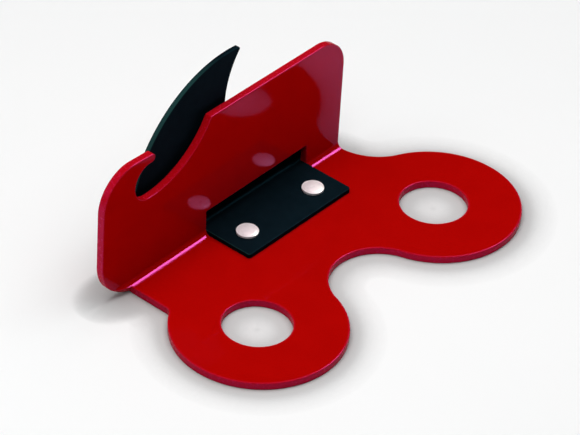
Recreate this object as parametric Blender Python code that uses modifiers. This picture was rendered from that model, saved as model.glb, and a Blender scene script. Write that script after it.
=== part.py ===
"""Rope clutch: a bent red eye plate with a black horn riveted through it.

Units are metres, +Z is up and the plate's underside lies on z = 0. The two round eyes stand side by
side along X at the front (-Y) and the upright stands across the back (+Y). The origin is the middle
of the whole object's footprint. Both sheets are drawn as the flat blanks that they are cut from, and
then bent: a blank's second coordinate runs from front to back along the foot, round the bend and up
the upright.
"""

import math

import bmesh
import bpy
from mathutils import Matrix, Vector

MM = 0.001

# Eye plate: one sheet of painted steel
PLATE_THICKNESS = 3.0 * MM
PLATE_BEND_RADIUS = 2.5 * MM  # inside of the bend
EYE_SPACING = 100.0 * MM
EYE_DIAMETER = 26.0 * MM
LOBE_RADIUS = 32.75 * MM
LOBE_LEAD = 0.75 * MM  # the lobes' centres lie this far in front of the eyes
GAP_RADIUS = 19.75 * MM  # round gap between the lobes
FACE_Y = 48.0 * MM  # front face of the upright, behind the line of the eyes, at FOLD_PIVOT_X
FOLD_SKEW = math.radians(0.46)  # the fold runs a little further back towards the right
FOLD_PIVOT_X = -49.0 * MM
UPRIGHT_HEIGHT = 56.4 * MM
UPRIGHT_LEFT = -80.6 * MM
UPRIGHT_RIGHT = 51.7 * MM
SHOULDER_LEFT_RADIUS = 15.5 * MM
SHOULDER_RIGHT_RADIUS = 14.0 * MM
EAR_RADIUS = 17.0 * MM  # lower left corner of the upright, which overhangs the waist
EAR_BOTTOM = 0.5 * MM  # height of the blank's edge if only the upright were bent
WAIST_LEFT = -66.2 * MM
WAIST_LEFT_RADIUS = 3.5 * MM
WAIST_RIGHT_RADIUS = 21.0 * MM

# Hooked notch in the upright, which the rope drops into
NOTCH_X = -56.4 * MM
NOTCH_FLOOR = 37.2 * MM
NOTCH_END_RADIUS = 7.7 * MM
NOTCH_MOUTH_X = -24.2 * MM
LIP_X = -55.7 * MM
LIP_TOP = 56.0 * MM
LIP_RADIUS = 1.7 * MM

# Window in the foot of the upright, which the horn passes through
WINDOW_LEFT = -24.9 * MM
WINDOW_RIGHT = 33.0 * MM
WINDOW_TOP = 14.2 * MM
WINDOW_FRONT_Y = 44.0 * MM
WINDOW_CORNER = 0.6 * MM

# Horn: one sheet of black steel, with a foot on the plate and a fin behind the upright
HORN_THICKNESS = 2.0 * MM
HORN_BEND_RADIUS = 1.3 * MM
HORN_LEFT = -24.5 * MM
HORN_RIGHT = 32.7 * MM
HORN_FRONT_Y = 26.5 * MM
HORN_BEND_Y = 51.2 * MM
HORN_CORNER = 1.2 * MM
WING_RIGHT = 37.0 * MM  # the horn is wider behind the upright
WING_START_Y = 52.4 * MM
WING_RADIUS = 1.2 * MM
FIN_BACK_X = -9.8 * MM  # centre of the fin's long outer curve
FIN_BACK_Z = 25.2 * MM
FIN_BACK_RADIUS = 50.4 * MM
FIN_HOLLOW_X = 23.5 * MM  # centre of the fin's hollow curve
FIN_HOLLOW_Z = 53.2 * MM
FIN_HOLLOW_RADIUS = 35.0 * MM
FIN_TIP_X = -5.2 * MM
FIN_TIP_RADIUS = 0.8 * MM
FIN_BOTTOM = 18.2 * MM
FIN_HEEL_RADIUS = 6.0 * MM
FIN_THROAT_RADIUS = 3.0 * MM

# Two rivets with low heads above and countersunk tails below
RIVET_XS = (-14.7 * MM, 22.3 * MM)
RIVET_Y = 36.3 * MM
RIVET_HEAD_RADIUS = 4.3 * MM
RIVET_HEAD_RIM = 0.9 * MM
RIVET_HEAD_RISE = 0.2 * MM
RIVET_SHANK_RADIUS = 2.4 * MM
RIVET_TAIL_RADIUS = 4.0 * MM
RIVET_TAIL_DEPTH = 1.5 * MM

GAP = 0.3 * MM  # between pieces that touch
ARC_STEP = 5.0  # degrees between the points of an arc
BEND_STRIPS = 8
TURN_STEPS = 40
SHARP_ANGLE = math.radians(30)

HORN_BASE = PLATE_THICKNESS + GAP
HORN_BACK_Y = HORN_BEND_Y + HORN_BEND_RADIUS + HORN_THICKNESS
MIDDLE_Y = (HORN_BACK_Y - LOBE_LEAD - LOBE_RADIUS) / 2  # from the line of the eyes


class Bend:
    """A right-angle bend that turns a flat sheet's far end straight up, and how the fold is skewed."""

    def __init__(self, start, base, thickness, radius, skew=0.0, pivot_x=0.0):
        self.start = start
        self.base = base
        self.thickness = thickness
        self.radius = radius
        pivot = Vector((pivot_x, start + radius, 0))
        turn = Matrix.Rotation(skew, 4, "Z")
        self.turn = Matrix.Translation(pivot) @ turn @ Matrix.Translation(-pivot)
        self.middle_radius = radius + thickness / 2
        self.length = self.middle_radius * math.pi / 2
        self.top = base + thickness + radius

    def blank(self, height):
        """Where a height on the upright lies along the flat blank."""
        return self.start + self.length + height - self.top

    def place(self, along, depth):
        """(y, z) of a point of the blank, depth being its height above the blank's underside."""
        radius = self.radius + self.thickness - depth
        if along <= self.start:
            return along, self.base + depth
        turned = min((along - self.start) / self.middle_radius, math.pi / 2)
        rise = max(along - self.start - self.length, 0.0)
        return (
            self.start + radius * math.sin(turned),
            self.top - radius * math.cos(turned) + rise,
        )

    def strips(self, count):
        return [self.start + self.length * i / count for i in range(count + 1)]


PLATE_BEND = Bend(
    FACE_Y - PLATE_BEND_RADIUS, 0.0, PLATE_THICKNESS, PLATE_BEND_RADIUS, FOLD_SKEW, FOLD_PIVOT_X
)
HORN_BEND = Bend(HORN_BEND_Y, HORN_BASE, HORN_THICKNESS, HORN_BEND_RADIUS)


def arc(x, y, radius, start, end):
    """Points on an arc from one angle to another, in degrees; end below start runs clockwise."""
    steps = max(2, math.ceil(abs(end - start) / ARC_STEP))
    angles = [math.radians(start + (end - start) * i / steps) for i in range(steps + 1)]
    return [(x + radius * math.cos(a), y + radius * math.sin(a)) for a in angles]


def corner(x, top, reach, start):
    """A rounded upper corner at (x, top); reach is its radius, signed towards the sheet's middle."""
    return arc(x + reach, top - abs(reach), abs(reach), start, start + 90)


def circle(x, y, radius):
    return arc(x, y, radius, 0, 360)[:-1]


def rounded_box(left, bottom, right, top, radius):
    return (
        arc(left + radius, bottom + radius, radius, 180, 270)
        + arc(right - radius, bottom + radius, radius, 270, 360)
        + arc(right - radius, top - radius, radius, 0, 90)
        + arc(left + radius, top - radius, radius, 90, 180)
    )


def angle_to(x, y):
    return math.degrees(math.atan2(y, x))


def plate_outline():
    """The eye plate's blank, anticlockwise from the left waist."""
    eye_x = EYE_SPACING / 2
    lobe_y = -LOBE_LEAD
    gap_y = lobe_y - math.sqrt((LOBE_RADIUS + GAP_RADIUS) ** 2 - eye_x**2)
    gap_tilt = angle_to(eye_x, lobe_y - gap_y)

    left_x = WAIST_LEFT - WAIST_LEFT_RADIUS
    left_rise = math.sqrt((LOBE_RADIUS + WAIST_LEFT_RADIUS) ** 2 - (left_x + eye_x) ** 2)
    left_end = angle_to(left_x + eye_x, left_rise)

    right_x = UPRIGHT_RIGHT + WAIST_RIGHT_RADIUS
    right_rise = math.sqrt((LOBE_RADIUS + WAIST_RIGHT_RADIUS) ** 2 - (right_x - eye_x) ** 2)
    right_end = angle_to(right_x - eye_x, right_rise)

    up = PLATE_BEND.blank
    top = up(UPRIGHT_HEIGHT)
    mouth = NOTCH_MOUTH_X - NOTCH_X
    depth = UPRIGHT_HEIGHT - NOTCH_FLOOR
    slope_radius = (mouth**2 + depth**2) / (2 * depth)
    ear_x = UPRIGHT_LEFT + EAR_RADIUS
    ear_end = 360 - math.degrees(math.acos((WAIST_LEFT - ear_x) / EAR_RADIUS))

    return (
        arc(-eye_x, lobe_y, LOBE_RADIUS, left_end, 360 - gap_tilt)
        + arc(0, gap_y, GAP_RADIUS, 180 - gap_tilt, gap_tilt)[1:-1]
        + arc(eye_x, lobe_y, LOBE_RADIUS, 180 + gap_tilt, 360 + right_end)
        + arc(right_x, lobe_y + right_rise, WAIST_RIGHT_RADIUS, 180 + right_end, 180)[1:]
        + corner(UPRIGHT_RIGHT, top, -SHOULDER_RIGHT_RADIUS, 0)
        + arc(NOTCH_X, up(NOTCH_FLOOR + slope_radius), slope_radius,
              angle_to(mouth, depth - slope_radius), -90)
        + arc(NOTCH_X, up(NOTCH_FLOOR + NOTCH_END_RADIUS), NOTCH_END_RADIUS, -90, -270)[1:]
        + arc(LIP_X, up(LIP_TOP - LIP_RADIUS), LIP_RADIUS, -90, 90)
        + corner(UPRIGHT_LEFT, top, SHOULDER_LEFT_RADIUS, 90)
        + arc(ear_x, up(EAR_BOTTOM + EAR_RADIUS), EAR_RADIUS, 180, ear_end)
        + arc(left_x, lobe_y + left_rise, WAIST_LEFT_RADIUS, 0, left_end - 180)[:-1]
    )


def rivet_holes():
    return [circle(x, RIVET_Y, RIVET_SHANK_RADIUS + GAP) for x in RIVET_XS]


def plate_holes():
    window_top = PLATE_BEND.blank(WINDOW_TOP)
    return [
        circle(-EYE_SPACING / 2, 0, EYE_DIAMETER / 2),
        circle(EYE_SPACING / 2, 0, EYE_DIAMETER / 2),
        rounded_box(WINDOW_LEFT, WINDOW_FRONT_Y, WINDOW_RIGHT, window_top, WINDOW_CORNER),
        *rivet_holes(),
    ]


def horn_outline():
    """The horn's blank, anticlockwise from the front left corner of its foot."""
    up = HORN_BEND.blank
    front_y = HORN_FRONT_Y + HORN_CORNER
    hollow_start = math.degrees(math.acos((WING_RIGHT - FIN_HOLLOW_X) / FIN_HOLLOW_RADIUS))
    tip_reach = FIN_BACK_RADIUS - FIN_TIP_RADIUS
    tip_lean = math.degrees(math.asin((FIN_TIP_X - FIN_BACK_X) / tip_reach))
    tip_z = FIN_BACK_Z + tip_reach * math.cos(math.radians(tip_lean))
    tip_angle = angle_to(FIN_TIP_X - FIN_HOLLOW_X, tip_z - FIN_HOLLOW_Z)
    heel_reach = FIN_BACK_RADIUS - FIN_HEEL_RADIUS
    heel_z = FIN_BOTTOM + FIN_HEEL_RADIUS
    heel_x = FIN_BACK_X - math.sqrt(heel_reach**2 - (heel_z - FIN_BACK_Z) ** 2)
    heel_start = 360 + angle_to(heel_x - FIN_BACK_X, heel_z - FIN_BACK_Z)
    throat_x = HORN_LEFT - FIN_THROAT_RADIUS
    throat_z = FIN_BOTTOM - FIN_THROAT_RADIUS

    return (
        arc(HORN_LEFT + HORN_CORNER, front_y, HORN_CORNER, 180, 270)
        + arc(HORN_RIGHT - HORN_CORNER, front_y, HORN_CORNER, 270, 360)
        + [(HORN_RIGHT, WING_START_Y)]
        + arc(WING_RIGHT - WING_RADIUS, WING_START_Y + WING_RADIUS, WING_RADIUS, 270, 360)
        + arc(FIN_HOLLOW_X, up(FIN_HOLLOW_Z), FIN_HOLLOW_RADIUS, -hollow_start, tip_angle - 360)
        + arc(FIN_TIP_X, up(tip_z), FIN_TIP_RADIUS, tip_angle - 180, 90 - tip_lean)
        + arc(FIN_BACK_X, up(FIN_BACK_Z), FIN_BACK_RADIUS, 90 - tip_lean, heel_start)[1:]
        + arc(heel_x, up(heel_z), FIN_HEEL_RADIUS, heel_start, 270)[1:]
        + arc(throat_x, up(throat_z), FIN_THROAT_RADIUS, 90, 0)
    )


def clear_scene():
    for obj in list(bpy.data.objects):
        bpy.data.objects.remove(obj, do_unlink=True)


def new_collection(name):
    collection = bpy.data.collections.new(name)
    bpy.context.scene.collection.children.link(collection)
    return collection


def material(name, colour, roughness, metallic):
    made = bpy.data.materials.new(name)
    made.use_nodes = True
    shader = made.node_tree.nodes["Principled BSDF"]
    shader.inputs["Base Color"].default_value = (*colour, 1.0)
    shader.inputs["Roughness"].default_value = roughness
    shader.inputs["Metallic"].default_value = metallic
    made.diffuse_color = (*colour, 1.0)
    return made


def flat_blank(name, outline, holes, thickness):
    """A closed flat sheet with its underside at z = 0, as a mesh."""
    curve = bpy.data.curves.new(name, "CURVE")
    curve.dimensions = "2D"
    curve.fill_mode = "BOTH"
    curve.extrude = thickness / 2
    for ring in (outline, *holes):
        spline = curve.splines.new("POLY")
        spline.points.add(len(ring) - 1)
        for point, (x, y) in zip(spline.points, ring):
            point.co = (x, y, 0, 1)
        spline.use_cyclic_u = True
    drawn = bpy.data.objects.new(name, curve)
    bpy.context.scene.collection.objects.link(drawn)
    bpy.context.view_layer.update()
    mesh = bpy.data.meshes.new_from_object(drawn.evaluated_get(bpy.context.evaluated_depsgraph_get()))
    bpy.data.objects.remove(drawn)
    bpy.data.curves.remove(curve)
    mesh.name = name
    for vertex in mesh.vertices:
        vertex.co.z += thickness / 2
    return mesh


def bend_mesh(mesh, bend):
    """Cuts strips across the bend and folds the blank round it."""
    shape = bmesh.new()
    shape.from_mesh(mesh)
    bmesh.ops.remove_doubles(shape, verts=shape.verts, dist=0.01 * MM)
    bmesh.ops.transform(shape, matrix=bend.turn.inverted(), verts=shape.verts)
    for along in bend.strips(BEND_STRIPS):
        bmesh.ops.bisect_plane(
            shape,
            geom=shape.verts[:] + shape.edges[:] + shape.faces[:],
            dist=0.001 * MM,
            plane_co=(0, along, 0),
            plane_no=(0, 1, 0),
        )
    bmesh.ops.triangulate(shape, faces=shape.faces)
    for vertex in shape.verts:
        vertex.co.y, vertex.co.z = bend.place(vertex.co.y, vertex.co.z)
    bmesh.ops.transform(shape, matrix=bend.turn, verts=shape.verts)
    bmesh.ops.recalc_face_normals(shape, faces=shape.faces)
    shape.to_mesh(mesh)
    shape.free()
    mesh.shade_smooth()
    mesh.set_sharp_from_angle(angle=SHARP_ANGLE)


def sheet_part(name, collection, finish, blank, bend):
    outline, holes, thickness = blank
    mesh = flat_blank(name, outline, holes, thickness)
    bend_mesh(mesh, bend)
    mesh.materials.append(finish)
    part = bpy.data.objects.new(name, mesh)
    part.location = (0, -MIDDLE_Y, 0)
    collection.objects.link(part)
    return part


def countersink(name, x, collection):
    """A cone that opens downward through the plate's underside."""
    overshoot = 1.0 * MM
    slope = (RIVET_TAIL_RADIUS - RIVET_SHANK_RADIUS) / RIVET_TAIL_DEPTH
    depth = RIVET_TAIL_DEPTH + 2 * GAP + overshoot
    shape = bmesh.new()
    bmesh.ops.create_cone(
        shape,
        cap_ends=True,
        segments=TURN_STEPS,
        radius1=RIVET_SHANK_RADIUS + GAP + slope * depth,
        radius2=RIVET_SHANK_RADIUS + GAP,
        depth=depth,
    )
    mesh = bpy.data.meshes.new(name)
    shape.to_mesh(mesh)
    shape.free()
    cutter = bpy.data.objects.new(name, mesh)
    cutter.location = (x, RIVET_Y - MIDDLE_Y, depth / 2 - overshoot)
    cutter.hide_render = True
    cutter.display_type = "WIRE"
    collection.objects.link(cutter)
    return cutter


def cut(part, cutter):
    modifier = part.modifiers.new(cutter.name, "BOOLEAN")
    modifier.operation = "DIFFERENCE"
    modifier.solver = "EXACT"
    modifier.object = cutter


def rivet(name, x, collection, finish):
    """A turned rivet: low domed head, plain shank, and a tail that fills the countersink."""
    head_z = HORN_BASE + HORN_THICKNESS + GAP
    tail_z = GAP
    rim_z = head_z + RIVET_HEAD_RIM
    dome_radius = (RIVET_HEAD_RADIUS**2 + RIVET_HEAD_RISE**2) / (2 * RIVET_HEAD_RISE)
    reach = math.degrees(math.asin(RIVET_HEAD_RADIUS / dome_radius))
    dome_z = rim_z + RIVET_HEAD_RISE - dome_radius
    dome = [
        (dome_radius * math.sin(a), dome_z + dome_radius * math.cos(a))
        for a in (math.radians(reach * i / 4) for i in range(5))
    ]
    profile = [
        *dome,
        (RIVET_HEAD_RADIUS, head_z),
        (RIVET_SHANK_RADIUS, head_z),
        (RIVET_SHANK_RADIUS, tail_z + RIVET_TAIL_DEPTH),
        (RIVET_TAIL_RADIUS, tail_z),
        (0.0, tail_z),
    ]
    mesh = bpy.data.meshes.new(name)
    edges = [(i, i + 1) for i in range(len(profile) - 1)]
    mesh.from_pydata([(r, 0.0, z) for r, z in profile], edges, [])
    mesh.materials.append(finish)
    part = bpy.data.objects.new(name, mesh)
    part.location = (x, RIVET_Y - MIDDLE_Y, 0)
    screw = part.modifiers.new("turn", "SCREW")
    screw.axis = "Z"
    screw.steps = screw.render_steps = TURN_STEPS
    screw.use_merge_vertices = True
    screw.merge_threshold = 0.01 * MM
    screw.use_smooth_shade = True
    collection.objects.link(part)
    return part


def main():
    clear_scene()
    parts = new_collection("rope_clutch")
    cutters = new_collection("cutters")
    red = material("red_paint", (0.43, 0.002, 0.006), 0.16, 0.0)
    black = material("black_coating", (0.006, 0.010, 0.014), 0.32, 0.0)
    aluminium = material("rivet_aluminium", (0.80, 0.79, 0.79), 0.35, 1.0)

    plate_blank = (plate_outline(), plate_holes(), PLATE_THICKNESS)
    plate = sheet_part("eye_plate", parts, red, plate_blank, PLATE_BEND)
    for side, x in zip(("left", "right"), RIVET_XS):
        cut(plate, countersink(f"countersink_{side}", x, cutters))

    horn_blank = (horn_outline(), rivet_holes(), HORN_THICKNESS)
    sheet_part("horn", parts, black, horn_blank, HORN_BEND)

    for side, x in zip(("left", "right"), RIVET_XS):
        rivet(f"rivet_{side}", x, parts, aluminium)


main()
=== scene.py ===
"""Looks of the rope clutch: a gloss red eye plate, a satin black horn and two aluminium rivets.

Metres, +Z up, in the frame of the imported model. Both sheets are rebuilt with fine arcs and rounded
edges from the flat blanks that they are cut from, and then bent. The blanks are drawn from the line
of the eyes (y = 0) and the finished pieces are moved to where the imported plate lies.
"""

import math

import bmesh
import bpy
from mathutils import Matrix, Vector

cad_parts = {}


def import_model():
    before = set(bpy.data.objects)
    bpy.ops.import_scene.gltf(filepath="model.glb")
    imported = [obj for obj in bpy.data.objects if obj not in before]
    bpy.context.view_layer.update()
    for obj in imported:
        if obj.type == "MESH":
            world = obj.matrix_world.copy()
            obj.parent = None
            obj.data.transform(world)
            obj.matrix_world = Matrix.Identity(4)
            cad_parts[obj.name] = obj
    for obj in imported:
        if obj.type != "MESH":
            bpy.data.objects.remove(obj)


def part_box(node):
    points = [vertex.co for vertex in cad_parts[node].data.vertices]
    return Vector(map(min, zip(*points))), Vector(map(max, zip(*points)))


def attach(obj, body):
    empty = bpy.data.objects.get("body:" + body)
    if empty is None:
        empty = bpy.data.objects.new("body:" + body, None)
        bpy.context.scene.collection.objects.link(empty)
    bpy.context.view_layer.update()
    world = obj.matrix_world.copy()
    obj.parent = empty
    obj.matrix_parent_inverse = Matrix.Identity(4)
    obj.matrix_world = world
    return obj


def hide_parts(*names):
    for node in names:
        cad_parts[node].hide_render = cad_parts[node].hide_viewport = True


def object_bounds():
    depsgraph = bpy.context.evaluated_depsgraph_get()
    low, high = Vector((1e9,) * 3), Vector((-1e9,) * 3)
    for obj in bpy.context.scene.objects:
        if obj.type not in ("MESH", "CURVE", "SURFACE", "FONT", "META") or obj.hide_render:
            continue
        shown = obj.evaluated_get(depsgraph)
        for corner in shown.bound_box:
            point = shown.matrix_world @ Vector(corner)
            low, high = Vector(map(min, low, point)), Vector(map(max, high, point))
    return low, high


MM = 0.001

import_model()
CAD_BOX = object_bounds()

# Eye plate
PLATE_THICKNESS = 3.0 * MM
PLATE_BEND_RADIUS = 2.5 * MM  # inside of the bend
PLATE_EDGE = 0.3 * MM  # roundness of the painted edges
EYE_SPACING = 100.0 * MM
EYE_DIAMETER = 26.0 * MM
LOBE_RADIUS = 32.75 * MM
LOBE_LEAD = 0.75 * MM  # the lobes' centres lie this far in front of the eyes
GAP_RADIUS = 19.75 * MM
FACE_Y = 48.0 * MM  # front face of the upright, behind the line of the eyes, at FOLD_PIVOT_X
FOLD_SKEW = math.radians(0.46)  # the fold runs a little further back towards the right
FOLD_PIVOT_X = -49.0 * MM
UPRIGHT_HEIGHT = 56.4 * MM
UPRIGHT_LEFT = -80.6 * MM
UPRIGHT_RIGHT = 51.7 * MM
SHOULDER_LEFT_RADIUS = 15.5 * MM
SHOULDER_RIGHT_RADIUS = 14.0 * MM
EAR_RADIUS = 17.0 * MM
EAR_BOTTOM = 0.5 * MM
WAIST_LEFT = -66.2 * MM
WAIST_LEFT_RADIUS = 3.5 * MM
WAIST_RIGHT_RADIUS = 21.0 * MM

# Hooked notch in the upright
NOTCH_X = -56.4 * MM  # lowest point of the notch
NOTCH_FLOOR = 37.2 * MM
NOTCH_END_RADIUS = 7.7 * MM
NOTCH_MOUTH_X = -24.2 * MM  # where its long slope meets the top edge
LIP_X = -55.7 * MM
LIP_TOP = 56.0 * MM
LIP_RADIUS = 1.7 * MM

# Window in the foot of the upright
WINDOW_LEFT = -24.6 * MM
WINDOW_RIGHT = 33.0 * MM
WINDOW_TOP = 14.2 * MM
WINDOW_FRONT_Y = 44.0 * MM
WINDOW_CORNER = 0.6 * MM

# Horn
HORN_THICKNESS = 2.0 * MM
HORN_BEND_RADIUS = 1.3 * MM
HORN_EDGE = 0.25 * MM
HORN_LEFT = -24.5 * MM
HORN_RIGHT = 32.9 * MM
HORN_FRONT_Y = 26.5 * MM
HORN_BEND_Y = 51.2 * MM  # where the bend starts
HORN_CORNER = 1.2 * MM
WING_RIGHT = 37.0 * MM  # the horn is wider behind the upright
WING_START_Y = 52.2 * MM
WING_RADIUS = 1.2 * MM
FIN_BACK_X = -9.8 * MM  # centre of the fin's outer arc
FIN_BACK_Z = 25.2 * MM
FIN_BACK_RADIUS = 50.4 * MM
FIN_HOLLOW_X = 23.5 * MM  # centre of its hollow arc
FIN_HOLLOW_Z = 53.2 * MM
FIN_HOLLOW_RADIUS = 35.0 * MM
FIN_TIP_X = -5.2 * MM
FIN_TIP_RADIUS = 0.8 * MM
FIN_BOTTOM = 18.2 * MM
FIN_HEEL_RADIUS = 6.0 * MM
FIN_THROAT_RADIUS = 3.0 * MM

# Rivets
RIVET_XS = (-14.7 * MM, 22.3 * MM)
RIVET_Y = 36.3 * MM
RIVET_HEAD_RADIUS = 4.3 * MM
RIVET_HEAD_RIM = 0.9 * MM
RIVET_HEAD_RISE = 0.2 * MM
RIVET_HEAD_ROUNDING = 0.2 * MM  # between the top and the rim
HEAD_MARK_DEPTH = 0.05 * MM  # of the dimple in the head's middle and of the ring near its rim
HEAD_DIMPLE = 0.12  # the dimple's size and the ring's place and size, as shares of the head's radius
HEAD_RING = 0.84
HEAD_RING_WIDTH = 0.045
RIVET_SHANK_RADIUS = 2.4 * MM
RIVET_TAIL_RADIUS = 4.0 * MM
RIVET_TAIL_DEPTH = 1.5 * MM

CONTACT = 0.03 * MM  # between pieces that touch
ARC_STEP = 1.5  # degrees between the points of an arc
EDGE_STEPS = 4  # across each rounded edge
BEND_STRIPS = 24
CORNER_SOFTNESS = 0.45 * MM  # radius of the corners that the blanks leave sharp
SHARP_TURN = math.radians(12)
HEAD_STEPS = 36  # across each rivet head, round its rim, and round its axis
RIM_STEPS = 8
ROUND_STEPS = 96

HORN_BASE = PLATE_THICKNESS + CONTACT
HEAD_BASE = HORN_BASE + HORN_THICKNESS + CONTACT
PLATE_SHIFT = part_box("eye_plate")[0].y + LOBE_LEAD + LOBE_RADIUS  # from the line of the eyes


class Bend:
    """A right-angle bend that turns a flat sheet's far end straight up, and how the fold is skewed."""

    def __init__(self, start, base, thickness, radius, skew=0.0, pivot_x=0.0):
        self.start = start
        self.base = base
        self.thickness = thickness
        self.radius = radius
        pivot = Vector((pivot_x, start + radius, 0))
        turn = Matrix.Rotation(skew, 4, "Z")
        self.turn = Matrix.Translation(pivot) @ turn @ Matrix.Translation(-pivot)
        self.middle_radius = radius + thickness / 2
        self.length = self.middle_radius * math.pi / 2
        self.top = base + thickness + radius

    def blank(self, height):
        """Where a height on the upright lies along the flat blank."""
        return self.start + self.length + height - self.top

    def turned(self, along):
        """How far the sheet has turned at this place along the blank."""
        return min(max(along - self.start, 0.0) / self.middle_radius, math.pi / 2)

    def place(self, along, depth):
        """(y, z) of a point of the blank, depth being its height above the blank's underside."""
        if along <= self.start:
            return along, self.base + depth
        radius = self.radius + self.thickness - depth
        turned = self.turned(along)
        rise = max(along - self.start - self.length, 0.0)
        return (
            self.start + radius * math.sin(turned),
            self.top - radius * math.cos(turned) + rise,
        )

    def strips(self):
        return [self.start + self.length * i / BEND_STRIPS for i in range(BEND_STRIPS + 1)]


PLATE_BEND = Bend(
    FACE_Y - PLATE_BEND_RADIUS, 0.0, PLATE_THICKNESS, PLATE_BEND_RADIUS, FOLD_SKEW, FOLD_PIVOT_X
)
HORN_BEND = Bend(HORN_BEND_Y, HORN_BASE, HORN_THICKNESS, HORN_BEND_RADIUS)


# ---------------------------------------------------------------- outlines


def arc(x, y, radius, start, end):
    """Points on an arc from one angle to another, in degrees; end below start runs clockwise."""
    steps = max(3, math.ceil(abs(end - start) / ARC_STEP))
    angles = [math.radians(start + (end - start) * i / steps) for i in range(steps + 1)]
    return [(x + radius * math.cos(a), y + radius * math.sin(a)) for a in angles]


def corner(x, top, reach, start):
    """A rounded upper corner at (x, top); reach is its radius, signed towards the sheet's middle."""
    return arc(x + reach, top - abs(reach), abs(reach), start, start + 90)


def circle(x, y, radius):
    return arc(x, y, radius, 0, 360)[:-1]


def rounded_box(left, bottom, right, top, radius):
    return (
        arc(left + radius, bottom + radius, radius, 180, 270)
        + arc(right - radius, bottom + radius, radius, 270, 360)
        + arc(right - radius, top - radius, radius, 0, 90)
        + arc(left + radius, top - radius, radius, 90, 180)
    )


def angle_to(x, y):
    return math.degrees(math.atan2(y, x))


def plate_outline():
    """The eye plate's blank, anticlockwise from the left waist."""
    eye_x = EYE_SPACING / 2
    lobe_y = -LOBE_LEAD
    gap_y = lobe_y - math.sqrt((LOBE_RADIUS + GAP_RADIUS) ** 2 - eye_x**2)
    gap_tilt = angle_to(eye_x, lobe_y - gap_y)

    left_x = WAIST_LEFT - WAIST_LEFT_RADIUS
    left_rise = math.sqrt((LOBE_RADIUS + WAIST_LEFT_RADIUS) ** 2 - (left_x + eye_x) ** 2)
    left_end = angle_to(left_x + eye_x, left_rise)

    right_x = UPRIGHT_RIGHT + WAIST_RIGHT_RADIUS
    right_rise = math.sqrt((LOBE_RADIUS + WAIST_RIGHT_RADIUS) ** 2 - (right_x - eye_x) ** 2)
    right_end = angle_to(right_x - eye_x, right_rise)

    up = PLATE_BEND.blank
    top = up(UPRIGHT_HEIGHT)
    mouth = NOTCH_MOUTH_X - NOTCH_X
    depth = UPRIGHT_HEIGHT - NOTCH_FLOOR
    slope_radius = (mouth**2 + depth**2) / (2 * depth)
    ear_x = UPRIGHT_LEFT + EAR_RADIUS
    ear_end = 360 - math.degrees(math.acos((WAIST_LEFT - ear_x) / EAR_RADIUS))

    return (
        arc(-eye_x, lobe_y, LOBE_RADIUS, left_end, 360 - gap_tilt)
        + arc(0, gap_y, GAP_RADIUS, 180 - gap_tilt, gap_tilt)
        + arc(eye_x, lobe_y, LOBE_RADIUS, 180 + gap_tilt, 360 + right_end)
        + arc(right_x, lobe_y + right_rise, WAIST_RIGHT_RADIUS, 180 + right_end, 180)
        + corner(UPRIGHT_RIGHT, top, -SHOULDER_RIGHT_RADIUS, 0)
        + arc(NOTCH_X, up(NOTCH_FLOOR + slope_radius), slope_radius,
              angle_to(mouth, depth - slope_radius), -90)
        + arc(NOTCH_X, up(NOTCH_FLOOR + NOTCH_END_RADIUS), NOTCH_END_RADIUS, -90, -270)
        + arc(LIP_X, up(LIP_TOP - LIP_RADIUS), LIP_RADIUS, -90, 90)
        + corner(UPRIGHT_LEFT, top, SHOULDER_LEFT_RADIUS, 90)
        + arc(ear_x, up(EAR_BOTTOM + EAR_RADIUS), EAR_RADIUS, 180, ear_end)
        + arc(left_x, lobe_y + left_rise, WAIST_LEFT_RADIUS, 0, left_end - 180)
    )


def rivet_holes():
    return [circle(x, RIVET_Y, RIVET_SHANK_RADIUS + CONTACT) for x in RIVET_XS]


def plate_holes():
    window_top = PLATE_BEND.blank(WINDOW_TOP)
    return [
        circle(-EYE_SPACING / 2, 0, EYE_DIAMETER / 2),
        circle(EYE_SPACING / 2, 0, EYE_DIAMETER / 2),
        rounded_box(WINDOW_LEFT, WINDOW_FRONT_Y, WINDOW_RIGHT, window_top, WINDOW_CORNER),
        *[circle(x, RIVET_Y, RIVET_TAIL_RADIUS + CONTACT) for x in RIVET_XS],
    ]


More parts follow.
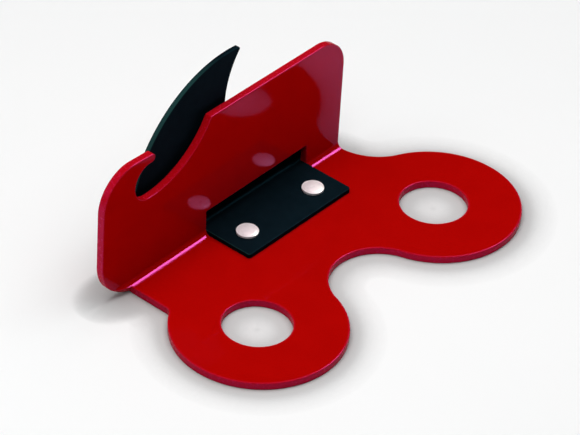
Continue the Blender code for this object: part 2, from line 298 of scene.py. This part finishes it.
def horn_outline():
    """The horn's blank, anticlockwise from the front left corner of its foot."""
    up = HORN_BEND.blank
    front_y = HORN_FRONT_Y + HORN_CORNER
    hollow_start = math.degrees(math.acos((WING_RIGHT - FIN_HOLLOW_X) / FIN_HOLLOW_RADIUS))
    tip_reach = FIN_BACK_RADIUS - FIN_TIP_RADIUS
    tip_lean = math.degrees(math.asin((FIN_TIP_X - FIN_BACK_X) / tip_reach))
    tip_z = FIN_BACK_Z + tip_reach * math.cos(math.radians(tip_lean))
    tip_angle = angle_to(FIN_TIP_X - FIN_HOLLOW_X, tip_z - FIN_HOLLOW_Z)
    heel_reach = FIN_BACK_RADIUS - FIN_HEEL_RADIUS
    heel_z = FIN_BOTTOM + FIN_HEEL_RADIUS
    heel_x = FIN_BACK_X - math.sqrt(heel_reach**2 - (heel_z - FIN_BACK_Z) ** 2)
    heel_start = 360 + angle_to(heel_x - FIN_BACK_X, heel_z - FIN_BACK_Z)
    throat_x = HORN_LEFT - FIN_THROAT_RADIUS
    throat_z = FIN_BOTTOM - FIN_THROAT_RADIUS

    return (
        arc(HORN_LEFT + HORN_CORNER, front_y, HORN_CORNER, 180, 270)
        + arc(HORN_RIGHT - HORN_CORNER, front_y, HORN_CORNER, 270, 360)
        + [(HORN_RIGHT, WING_START_Y)]
        + arc(WING_RIGHT - WING_RADIUS, WING_START_Y + WING_RADIUS, WING_RADIUS, 270, 360)
        + arc(FIN_HOLLOW_X, up(FIN_HOLLOW_Z), FIN_HOLLOW_RADIUS, -hollow_start, tip_angle - 360)
        + arc(FIN_TIP_X, up(tip_z), FIN_TIP_RADIUS, tip_angle - 180, 90 - tip_lean)
        + arc(FIN_BACK_X, up(FIN_BACK_Z), FIN_BACK_RADIUS, 90 - tip_lean, heel_start)
        + arc(heel_x, up(heel_z), FIN_HEEL_RADIUS, heel_start, 270)
        + arc(throat_x, up(throat_z), FIN_THROAT_RADIUS, 90, 0)
    )


def distinct(ring):
    """The ring's points as vectors, without the ones that repeat the point before."""
    points = [Vector(p) for p in ring]
    return [p for i, p in enumerate(points) if (p - points[i - 1]).length > 0.02 * MM]


def along_ring(points, start, step, reach):
    """The point at this distance from a corner along the ring, and how many points it passes."""
    passed = 0
    here = points[start]
    while True:
        after = points[(start + step * (passed + 1)) % len(points)]
        length = (after - here).length
        if length > reach:
            return here.lerp(after, reach / length), passed
        reach -= length
        here = after
        passed += 1


def soften(points, radius):
    """Rounds the corners that turn sharply, which are few and far apart."""
    count = len(points)
    replaced = {}
    for i, here in enumerate(points):
        before = here - points[i - 1]
        after = points[(i + 1) % count] - here
        turn = abs(before.angle_signed(after))
        if turn < SHARP_TURN:
            continue
        reach = radius * math.tan(turn / 2)
        start, behind = along_ring(points, i, -1, reach)
        end, ahead = along_ring(points, i, 1, reach)
        steps = max(4, math.ceil(math.degrees(turn) / 8))
        curve = []
        for k in range(steps + 1):
            t = k / steps
            curve.append(start.lerp(here, t).lerp(here.lerp(end, t), t))
        for k in range(-behind, ahead + 1):
            replaced[(i + k) % count] = []
        replaced[i] = curve
    result = []
    for i, here in enumerate(points):
        result.extend(replaced.get(i, [here]))
    return result


# ---------------------------------------------------------------- sheets


def side_of(points):
    """For each point of a ring, the vector to its left that offsets both its edges by one."""
    vectors = []
    for i, here in enumerate(points):
        before = (here - points[i - 1]).normalized()
        after = (points[(i + 1) % len(points)] - here).normalized()
        first = Vector((-before.y, before.x))
        second = Vector((-after.y, after.x))
        vectors.append((first + second) / (1 + first.dot(second)))
    return vectors


def edge_profile(thickness, edge):
    """(inset, depth, tilt) down a sheet's rounded side, tilt being how far its normal points up."""
    quarter = [math.pi / 2 * k / EDGE_STEPS for k in range(EDGE_STEPS + 1)]
    under = [(edge * (1 - math.sin(a)), edge * (1 - math.cos(a)), a - math.pi / 2) for a in quarter]
    over = [(edge * (1 - math.cos(a)), thickness - edge * (1 - math.sin(a)), a) for a in quarter]
    return under + over


def sheet_mesh(name, outline, holes, edge, bend):
    """A bent sheet with rounded edges. Its point attribute "edge" is 1 on the edges, 0 inside."""
    shape = bmesh.new()
    normal_layer = shape.verts.layers.float_vector.new("flat_normal")
    edge_layer = shape.verts.layers.float.new("edge")
    profile = edge_profile(bend.thickness, edge)
    fade = 2 * edge
    levels = [(edge + fade, 0.0, -math.pi / 2, 0.0)]
    levels += [(*level, 1.0) for level in profile]
    levels += [(edge + fade, bend.thickness, math.pi / 2, 0.0)]
    rims = {0: [], len(levels) - 1: []}

    for ring in (outline, *[hole[::-1] for hole in holes]):
        points = soften(distinct(ring), CORNER_SOFTNESS)
        sides = side_of(points)
        rings = []
        for inset, depth, tilt, amount in levels:
            row = []
            for point, side in zip(points, sides):
                place = point + side * inset
                vertex = shape.verts.new((place.x, place.y, depth))
                outward = -side.normalized() * math.cos(tilt)
                vertex[normal_layer] = (outward.x, outward.y, math.sin(tilt))
                vertex[edge_layer] = amount
                row.append(vertex)
            rings.append(row)
        for lower, upper in zip(rings, rings[1:]):
            for i in range(len(lower)):
                shape.faces.new((lower[i - 1], lower[i], upper[i], upper[i - 1]))
        for level, rim in rims.items():
            row = rings[level]
            rim += [shape.edges.get((row[i - 1], row[i])) for i in range(len(row))]
    for rim in rims.values():
        bmesh.ops.triangle_fill(shape, edges=rim, use_beauty=True)

    bmesh.ops.transform(shape, matrix=bend.turn.inverted(), verts=shape.verts)
    for along in bend.strips():
        bmesh.ops.bisect_plane(
            shape,
            geom=shape.verts[:] + shape.edges[:] + shape.faces[:],
            dist=0.001 * MM,
            plane_co=(0, along, 0),
            plane_no=(0, 1, 0),
        )
    bmesh.ops.triangulate(shape, faces=[f for f in shape.faces if len(f.verts) > 4])
    for vertex in shape.verts:
        normal = bend.turn.to_3x3().inverted() @ Vector(vertex[normal_layer])
        normal.rotate(Matrix.Rotation(bend.turned(vertex.co.y), 3, "X"))
        vertex[normal_layer] = (bend.turn.to_3x3() @ normal).normalized()
        y, z = bend.place(vertex.co.y, vertex.co.z)
        vertex.co = bend.turn @ Vector((vertex.co.x, y, z)) + Vector((0, PLATE_SHIFT, 0))
    bmesh.ops.recalc_face_normals(shape, faces=shape.faces)

    mesh = bpy.data.meshes.new(name)
    shape.verts.ensure_lookup_table()
    normals = [tuple(v[normal_layer]) for v in shape.verts]
    shape.verts.layers.float_vector.remove(normal_layer)
    shape.to_mesh(mesh)
    shape.free()
    mesh.shade_smooth()
    mesh.normals_split_custom_set_from_vertices(normals)
    return mesh


# ---------------------------------------------------------------- rivets


def rivet_profile():
    """(radius, height) from the middle of the head round to the middle of the tail."""
    rim_z = HEAD_BASE + RIVET_HEAD_RIM
    dome_radius = (RIVET_HEAD_RADIUS**2 + RIVET_HEAD_RISE**2) / (2 * RIVET_HEAD_RISE)
    reach = math.asin(RIVET_HEAD_RADIUS / dome_radius)
    dome_z = rim_z + RIVET_HEAD_RISE - dome_radius
    head = []
    for i in range(HEAD_STEPS + 1):
        a = reach * i / HEAD_STEPS
        r = dome_radius * math.sin(a)
        z = dome_z + dome_radius * math.cos(a)
        share = r / RIVET_HEAD_RADIUS
        z -= HEAD_MARK_DEPTH * math.exp(-((share / HEAD_DIMPLE) ** 2))
        z -= HEAD_MARK_DEPTH * math.exp(-(((share - HEAD_RING) / HEAD_RING_WIDTH) ** 2))
        if r < RIVET_HEAD_RADIUS - RIVET_HEAD_ROUNDING:
            head.append((r, z))
    rim = []
    for i in range(RIM_STEPS + 1):
        a = math.radians(75 - 75 * i / RIM_STEPS)
        rim.append((
            RIVET_HEAD_RADIUS - RIVET_HEAD_ROUNDING + RIVET_HEAD_ROUNDING * math.cos(a),
            rim_z - RIVET_HEAD_ROUNDING + RIVET_HEAD_ROUNDING * math.sin(a),
        ))
    return head + rim + [
        (RIVET_HEAD_RADIUS - 0.05 * MM, HEAD_BASE),
        (RIVET_SHANK_RADIUS, HEAD_BASE),
        (RIVET_SHANK_RADIUS, RIVET_TAIL_DEPTH + CONTACT),
        (RIVET_TAIL_RADIUS, CONTACT),
        (RIVET_TAIL_RADIUS - 0.1 * MM, 0.0),
        (0.0, 0.0),
    ]


def out_of_round(angle, x):
    """How far a head's rim swells or shrinks round its axis, different for each rivet."""
    return 1.0 + (0.006 * math.sin(3 * angle + 900 * x) + 0.004 * math.sin(7 * angle + 400 * x))


def rivet(name, x):
    shape = bmesh.new()
    rings = []
    for r, z in rivet_profile():
        if r < 0.001 * MM:
            rings.append([shape.verts.new((0, 0, z))])
            continue
        near_rim = z > HEAD_BASE and r > RIVET_HEAD_RADIUS * 0.7
        row = []
        for k in range(ROUND_STEPS):
            a = 2 * math.pi * k / ROUND_STEPS
            swell = out_of_round(a, x) if near_rim else 1.0
            row.append(shape.verts.new((r * swell * math.cos(a), r * swell * math.sin(a), z)))
        rings.append(row)
    for upper, lower in zip(rings, rings[1:]):
        for k in range(ROUND_STEPS):
            n = (k + 1) % ROUND_STEPS
            if len(upper) == 1:
                shape.faces.new((upper[0], lower[k], lower[n]))
            elif len(lower) == 1:
                shape.faces.new((upper[k], lower[0], upper[n]))
            else:
                shape.faces.new((upper[k], lower[k], lower[n], upper[n]))
    bmesh.ops.recalc_face_normals(shape, faces=shape.faces)
    mesh = bpy.data.meshes.new(name)
    shape.to_mesh(mesh)
    shape.free()
    mesh.shade_smooth()
    mesh.set_sharp_from_angle(angle=math.radians(40))
    piece = bpy.data.objects.new(name, mesh)
    piece.location = (x, RIVET_Y + PLATE_SHIFT, 0)
    bpy.context.scene.collection.objects.link(piece)
    return piece


# ---------------------------------------------------------------- materials


class Nodes:
    """Short calls for building one material's nodes."""

    def __init__(self, name):
        self.material = bpy.data.materials.new(name)
        self.material.use_nodes = True
        self.tree = self.material.node_tree
        self.shader = self.tree.nodes["Principled BSDF"]

    def node(self, kind, **settings):
        made = self.tree.nodes.new("ShaderNode" + kind)
        for key, value in settings.items():
            setattr(made, key, value)
        return made

    def link(self, source, target):
        self.tree.links.new(source, target)

    def set(self, **values):
        for key, value in values.items():
            self.shader.inputs[key.replace("_", " ")].default_value = value

    def noise(self, scale, detail):
        place = self.node("TexCoord")
        made = self.node("TexNoise")
        made.inputs["Scale"].default_value = scale
        made.inputs["Detail"].default_value = detail
        self.link(place.outputs["Object"], made.inputs["Vector"])
        return made.outputs["Fac"]

    def ramp(self, source, low, high, start=0.3, end=0.7):
        made = self.node("MapRange")
        made.inputs["From Min"].default_value = start
        made.inputs["From Max"].default_value = end
        made.inputs["To Min"].default_value = low
        made.inputs["To Max"].default_value = high
        self.link(source, made.inputs["Value"])
        return made.outputs["Result"]

    def blend(self, factor, first, second):
        """From the first colour to the second; each is a constant or a socket."""
        made = self.node("Mix", data_type="RGBA")
        self.link(factor, made.inputs["Factor"])
        for name, colour in (("A", first), ("B", second)):
            if isinstance(colour, tuple):
                made.inputs[name].default_value = (*colour, 1.0)
            else:
                self.link(colour, made.inputs[name])
        return made.outputs["Result"]

    def calculate(self, operation, first, second):
        made = self.node("Math", operation=operation)
        self.link(first, made.inputs[0])
        self.link(second, made.inputs[1])
        return made.outputs["Value"]

    def edge(self):
        """1 on a sheet's rounded edges, 0 inside them."""
        return self.node("Attribute", attribute_name="edge").outputs["Fac"]

    def bump(self, height, distance):
        made = self.node("Bump")
        made.inputs["Distance"].default_value = distance
        made.inputs["Strength"].default_value = 1.0
        self.link(height, made.inputs["Height"])
        return made.outputs["Normal"]


def red_paint():
    """Gloss enamel: faint orange peel, a slightly uneven film, duller edges, and a painted pink sheen on
    the edges.
    """
    nodes = Nodes("red_paint")
    nodes.set(IOR=1.13, Specular_Tint=(12.8, 1.4, 9.3, 1.0))  # pale things mirror pink in it
    edge = nodes.edge()
    film = nodes.ramp(nodes.noise(90.0, 3.0), 0.0, 1.0)
    colour = nodes.blend(film, (0.392, 0.0012, 0.0006), (0.416, 0.0015, 0.0008))
    # painted sheen: the edges' colour is lighter and pinker, standing for the light that the rounded
    # edges catch
    colour = nodes.blend(edge, colour, (0.44, 0.0020, 0.0060))
    nodes.link(colour, nodes.shader.inputs["Base Color"])
    gloss = nodes.ramp(nodes.noise(700.0, 4.0), 0.045, 0.085)
    duller = nodes.ramp(edge, 0.0, 0.2, 0.0, 1.0)
    nodes.link(nodes.calculate("ADD", gloss, duller), nodes.shader.inputs["Roughness"])
    peel = nodes.bump(nodes.noise(450.0, 2.0), 0.0000035)
    nodes.link(peel, nodes.shader.inputs["Normal"])
    return nodes.material


def black_coating():
    """Satin black coating with a fine grain and a cold sheen, and a pale sheen painted on the edges that
    face up and to the left, mostly along the fin's outer edge.
    """
    nodes = Nodes("black_coating")
    nodes.set(IOR=1.04, Specular_Tint=(2.6, 11.0, 18.5, 1.0))
    patch = nodes.ramp(nodes.noise(300.0, 4.0), 0.0, 1.0)
    colour = nodes.blend(patch, (0.0017, 0.0040, 0.0060), (0.0026, 0.0060, 0.0086))
    # painted sheen: edges that face up and to the left, where the light falls, are coloured pale teal
    facing = nodes.node("NewGeometry")
    apart = nodes.node("SeparateXYZ")
    nodes.link(facing.outputs["Normal"], apart.inputs["Vector"])
    upward = nodes.ramp(apart.outputs["Z"], 0.0, 1.0, 0.1, 0.5)
    leftward = nodes.ramp(apart.outputs["X"], 1.0, 0.0, -0.4, -0.1)
    outer = nodes.calculate("MULTIPLY", upward, leftward)
    painted_sheen = nodes.calculate("MULTIPLY", nodes.edge(), outer)
    colour = nodes.blend(painted_sheen, colour, (0.011, 0.036, 0.034))
    nodes.link(colour, nodes.shader.inputs["Base Color"])
    gloss = nodes.ramp(nodes.noise(1500.0, 4.0), 0.36, 0.46)
    nodes.link(gloss, nodes.shader.inputs["Roughness"])
    grain = nodes.bump(nodes.noise(2600.0, 3.0), 0.000004)
    nodes.link(grain, nodes.shader.inputs["Normal"])
    return nodes.material


def rivet_metal():
    """Satin aluminium with faint turning marks round the rivet's axis."""
    nodes = Nodes("rivet_metal")
    nodes.set(Metallic=0.35, IOR=1.4)
    patch = nodes.ramp(nodes.noise(900.0, 4.0), 0.0, 1.0)
    colour = nodes.blend(patch, (0.86, 0.795, 0.83), (0.94, 0.885, 0.92))
    nodes.link(colour, nodes.shader.inputs["Base Color"])
    gloss = nodes.ramp(nodes.noise(2500.0, 3.0), 0.30, 0.40)
    nodes.link(gloss, nodes.shader.inputs["Roughness"])
    place = nodes.node("TexCoord")
    apart = nodes.node("SeparateXYZ")
    flat = nodes.node("CombineXYZ")
    length = nodes.node("VectorMath", operation="LENGTH")
    rings = nodes.node("TexNoise", noise_dimensions="1D")
    rings.inputs["Scale"].default_value = 9000.0
    rings.inputs["Detail"].default_value = 2.0
    nodes.link(place.outputs["Object"], apart.inputs["Vector"])
    nodes.link(apart.outputs["X"], flat.inputs["X"])
    nodes.link(apart.outputs["Y"], flat.inputs["Y"])
    nodes.link(flat.outputs["Vector"], length.inputs[0])
    nodes.link(length.outputs["Value"], rings.inputs["W"])
    turned = nodes.bump(rings.outputs["Fac"], 0.000004)
    nodes.link(turned, nodes.shader.inputs["Normal"])
    return nodes.material


def floor_paper():
    """Matt pale paper, darkened by painted shade close to the object, tightly under its edges and softly
    beyond.
    """
    nodes = Nodes("floor_paper")
    tone = nodes.ramp(nodes.noise(6.0, 3.0), 0.0, 1.0)
    colour = nodes.blend(tone, (0.886, 0.889, 0.889), (0.900, 0.903, 0.903))
    # painted shade: ambient occlusion darkens the paper's colour near the object, standing for its
    # contact shadows
    for reach, darkest, start in ((0.014, 0.62, 0.935), (0.07, 0.86, 0.55)):
        near = nodes.node("AmbientOcclusion", samples=24)
        near.inputs["Distance"].default_value = reach
        shade = nodes.node("Mix", data_type="RGBA", blend_type="MULTIPLY")
        shade.inputs["Factor"].default_value = 1.0
        nodes.link(colour, shade.inputs["A"])
        nodes.link(nodes.ramp(near.outputs["AO"], darkest, 1.0, start, 1.0), shade.inputs["B"])
        colour = shade.outputs["Result"]
    nodes.link(colour, nodes.shader.inputs["Base Color"])
    nodes.set(Roughness=0.9, Specular_IOR_Level=0.0)
    return nodes.material


# ---------------------------------------------------------------- pieces


def sheet_piece(name, outline, holes, edge, bend, finish):
    mesh = sheet_mesh(name, outline, holes, edge, bend)
    mesh.materials.append(finish)
    piece = bpy.data.objects.new(name, mesh)
    bpy.context.scene.collection.objects.link(piece)
    return piece


def put(piece, node):
    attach(piece, "root")
    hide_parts(node)


put(sheet_piece("plate_sheet", plate_outline(), plate_holes(), PLATE_EDGE, PLATE_BEND, red_paint()),
    "eye_plate")
put(sheet_piece("horn_sheet", horn_outline(), rivet_holes(), HORN_EDGE, HORN_BEND, black_coating()),
    "horn")
metal = rivet_metal()
for side, x in zip(("left", "right"), RIVET_XS):
    piece = rivet(f"rivet_body_{side}", x)
    piece.data.materials.append(metal)
    put(piece, f"rivet_{side}")


# ---------------------------------------------------------------- studio


def floor():
    shape = bmesh.new()
    bmesh.ops.create_grid(shape, x_segments=8, y_segments=8, size=6.0)
    mesh = bpy.data.meshes.new("floor")
    shape.to_mesh(mesh)
    shape.free()
    mesh.materials.append(floor_paper())
    made = bpy.data.objects.new("floor", mesh)
    made.location = (0, 0, CAD_BOX[0].z - 0.05 * MM)
    bpy.context.scene.collection.objects.link(made)


def softbox(name, direction, distance, size, radiance, diffuse=True, glossy=True, tint=(1, 1, 1)):
    """A rectangular light that faces the object; radiance is how bright it looks.

    diffuse and glossy say whether it lights matt surfaces and whether it shows in reflections.
    """
    width, height = size
    light = bpy.data.lights.new(name, "AREA")
    light.shape = "RECTANGLE"
    light.size = width
    light.size_y = height
    light.energy = radiance * width * height * math.pi
    light.color = tint
    made = bpy.data.objects.new(name, light)
    towards = Vector(direction).normalized()
    made.location = towards * distance
    made.rotation_mode = "QUATERNION"
    made.rotation_quaternion = towards.to_track_quat("Z", "Y")
    made.visible_camera = False
    made.visible_diffuse = diffuse
    made.visible_glossy = glossy
    bpy.context.scene.collection.objects.link(made)


def world(low, high, start, end):
    """A pale band round the horizon under a darker ceiling; start and end are degrees above it."""
    start, end = (math.sin(math.radians(angle)) for angle in (start, end))
    made = bpy.data.worlds.new("studio")
    made.use_nodes = True
    tree = made.node_tree
    place = tree.nodes.new("ShaderNodeTexCoord")
    apart = tree.nodes.new("ShaderNodeSeparateXYZ")
    fade = tree.nodes.new("ShaderNodeMapRange")
    fade.interpolation_type = "SMOOTHSTEP"
    for key, value in (("From Min", start), ("From Max", end), ("To Min", low), ("To Max", high)):
        fade.inputs[key].default_value = value
    tree.links.new(place.outputs["Generated"], apart.inputs["Vector"])
    tree.links.new(apart.outputs["Z"], fade.inputs["Value"])
    tree.links.new(fade.outputs["Result"], tree.nodes["Background"].inputs["Strength"])
    bpy.context.scene.world = made


def camera(azimuth, elevation, roll, distance, target, lens):
    """Angles in degrees: azimuth 0 looks along +Y, elevation is above the horizon."""
    a, e, r = (math.radians(angle) for angle in (azimuth, elevation, roll))
    back = Vector((math.sin(a) * math.cos(e), -math.cos(a) * math.cos(e), math.sin(e)))
    right = Vector((math.cos(a), math.sin(a), 0))
    up = back.cross(right)
    turned = Matrix((
        right * math.cos(r) + up * math.sin(r),
        up * math.cos(r) - right * math.sin(r),
        back,
    )).transposed()
    data = bpy.data.cameras.new("camera")
    data.lens = lens
    data.clip_start = 0.01
    data.clip_end = 50.0
    made = bpy.data.objects.new("camera", data)
    made.matrix_world = Matrix.Translation(Vector(target) + back * distance) @ turned.to_4x4()
    bpy.context.scene.collection.objects.link(made)
    bpy.context.scene.camera = made


floor()
# The key and the rim show only in reflections: the key, a narrow strip, as the bright line along
# the fold, and the rim on the edges to the left.
softbox("key", (0.615, -0.055, 0.787), 1.3, (0.96, 0.28), 17.5, diffuse=False, tint=(1.02, 1.12, 0.95))
softbox("rim", (-0.758, 0.5, 0.42), 1.5, (1.2, 0.6), 0.85, diffuse=False)
# The other two light the matt floor and the paint, cast the soft shadows and show in no reflection.
softbox("overhead", (0.0, -0.10, 1.0), 1.0, (1.8, 0.75), 2.95, glossy=False)
softbox("back", (-0.35, 0.35, 0.87), 1.3, (1.1, 1.1), 1.7, glossy=False)
world(0.25, 0.02, 26, 34)
camera(-50.9, 37.6, 3.3, 1.292, (0.0080, PLATE_SHIFT + 0.0349, 0.0), 214.3)
bpy.context.scene.view_settings.view_transform = "Standard"
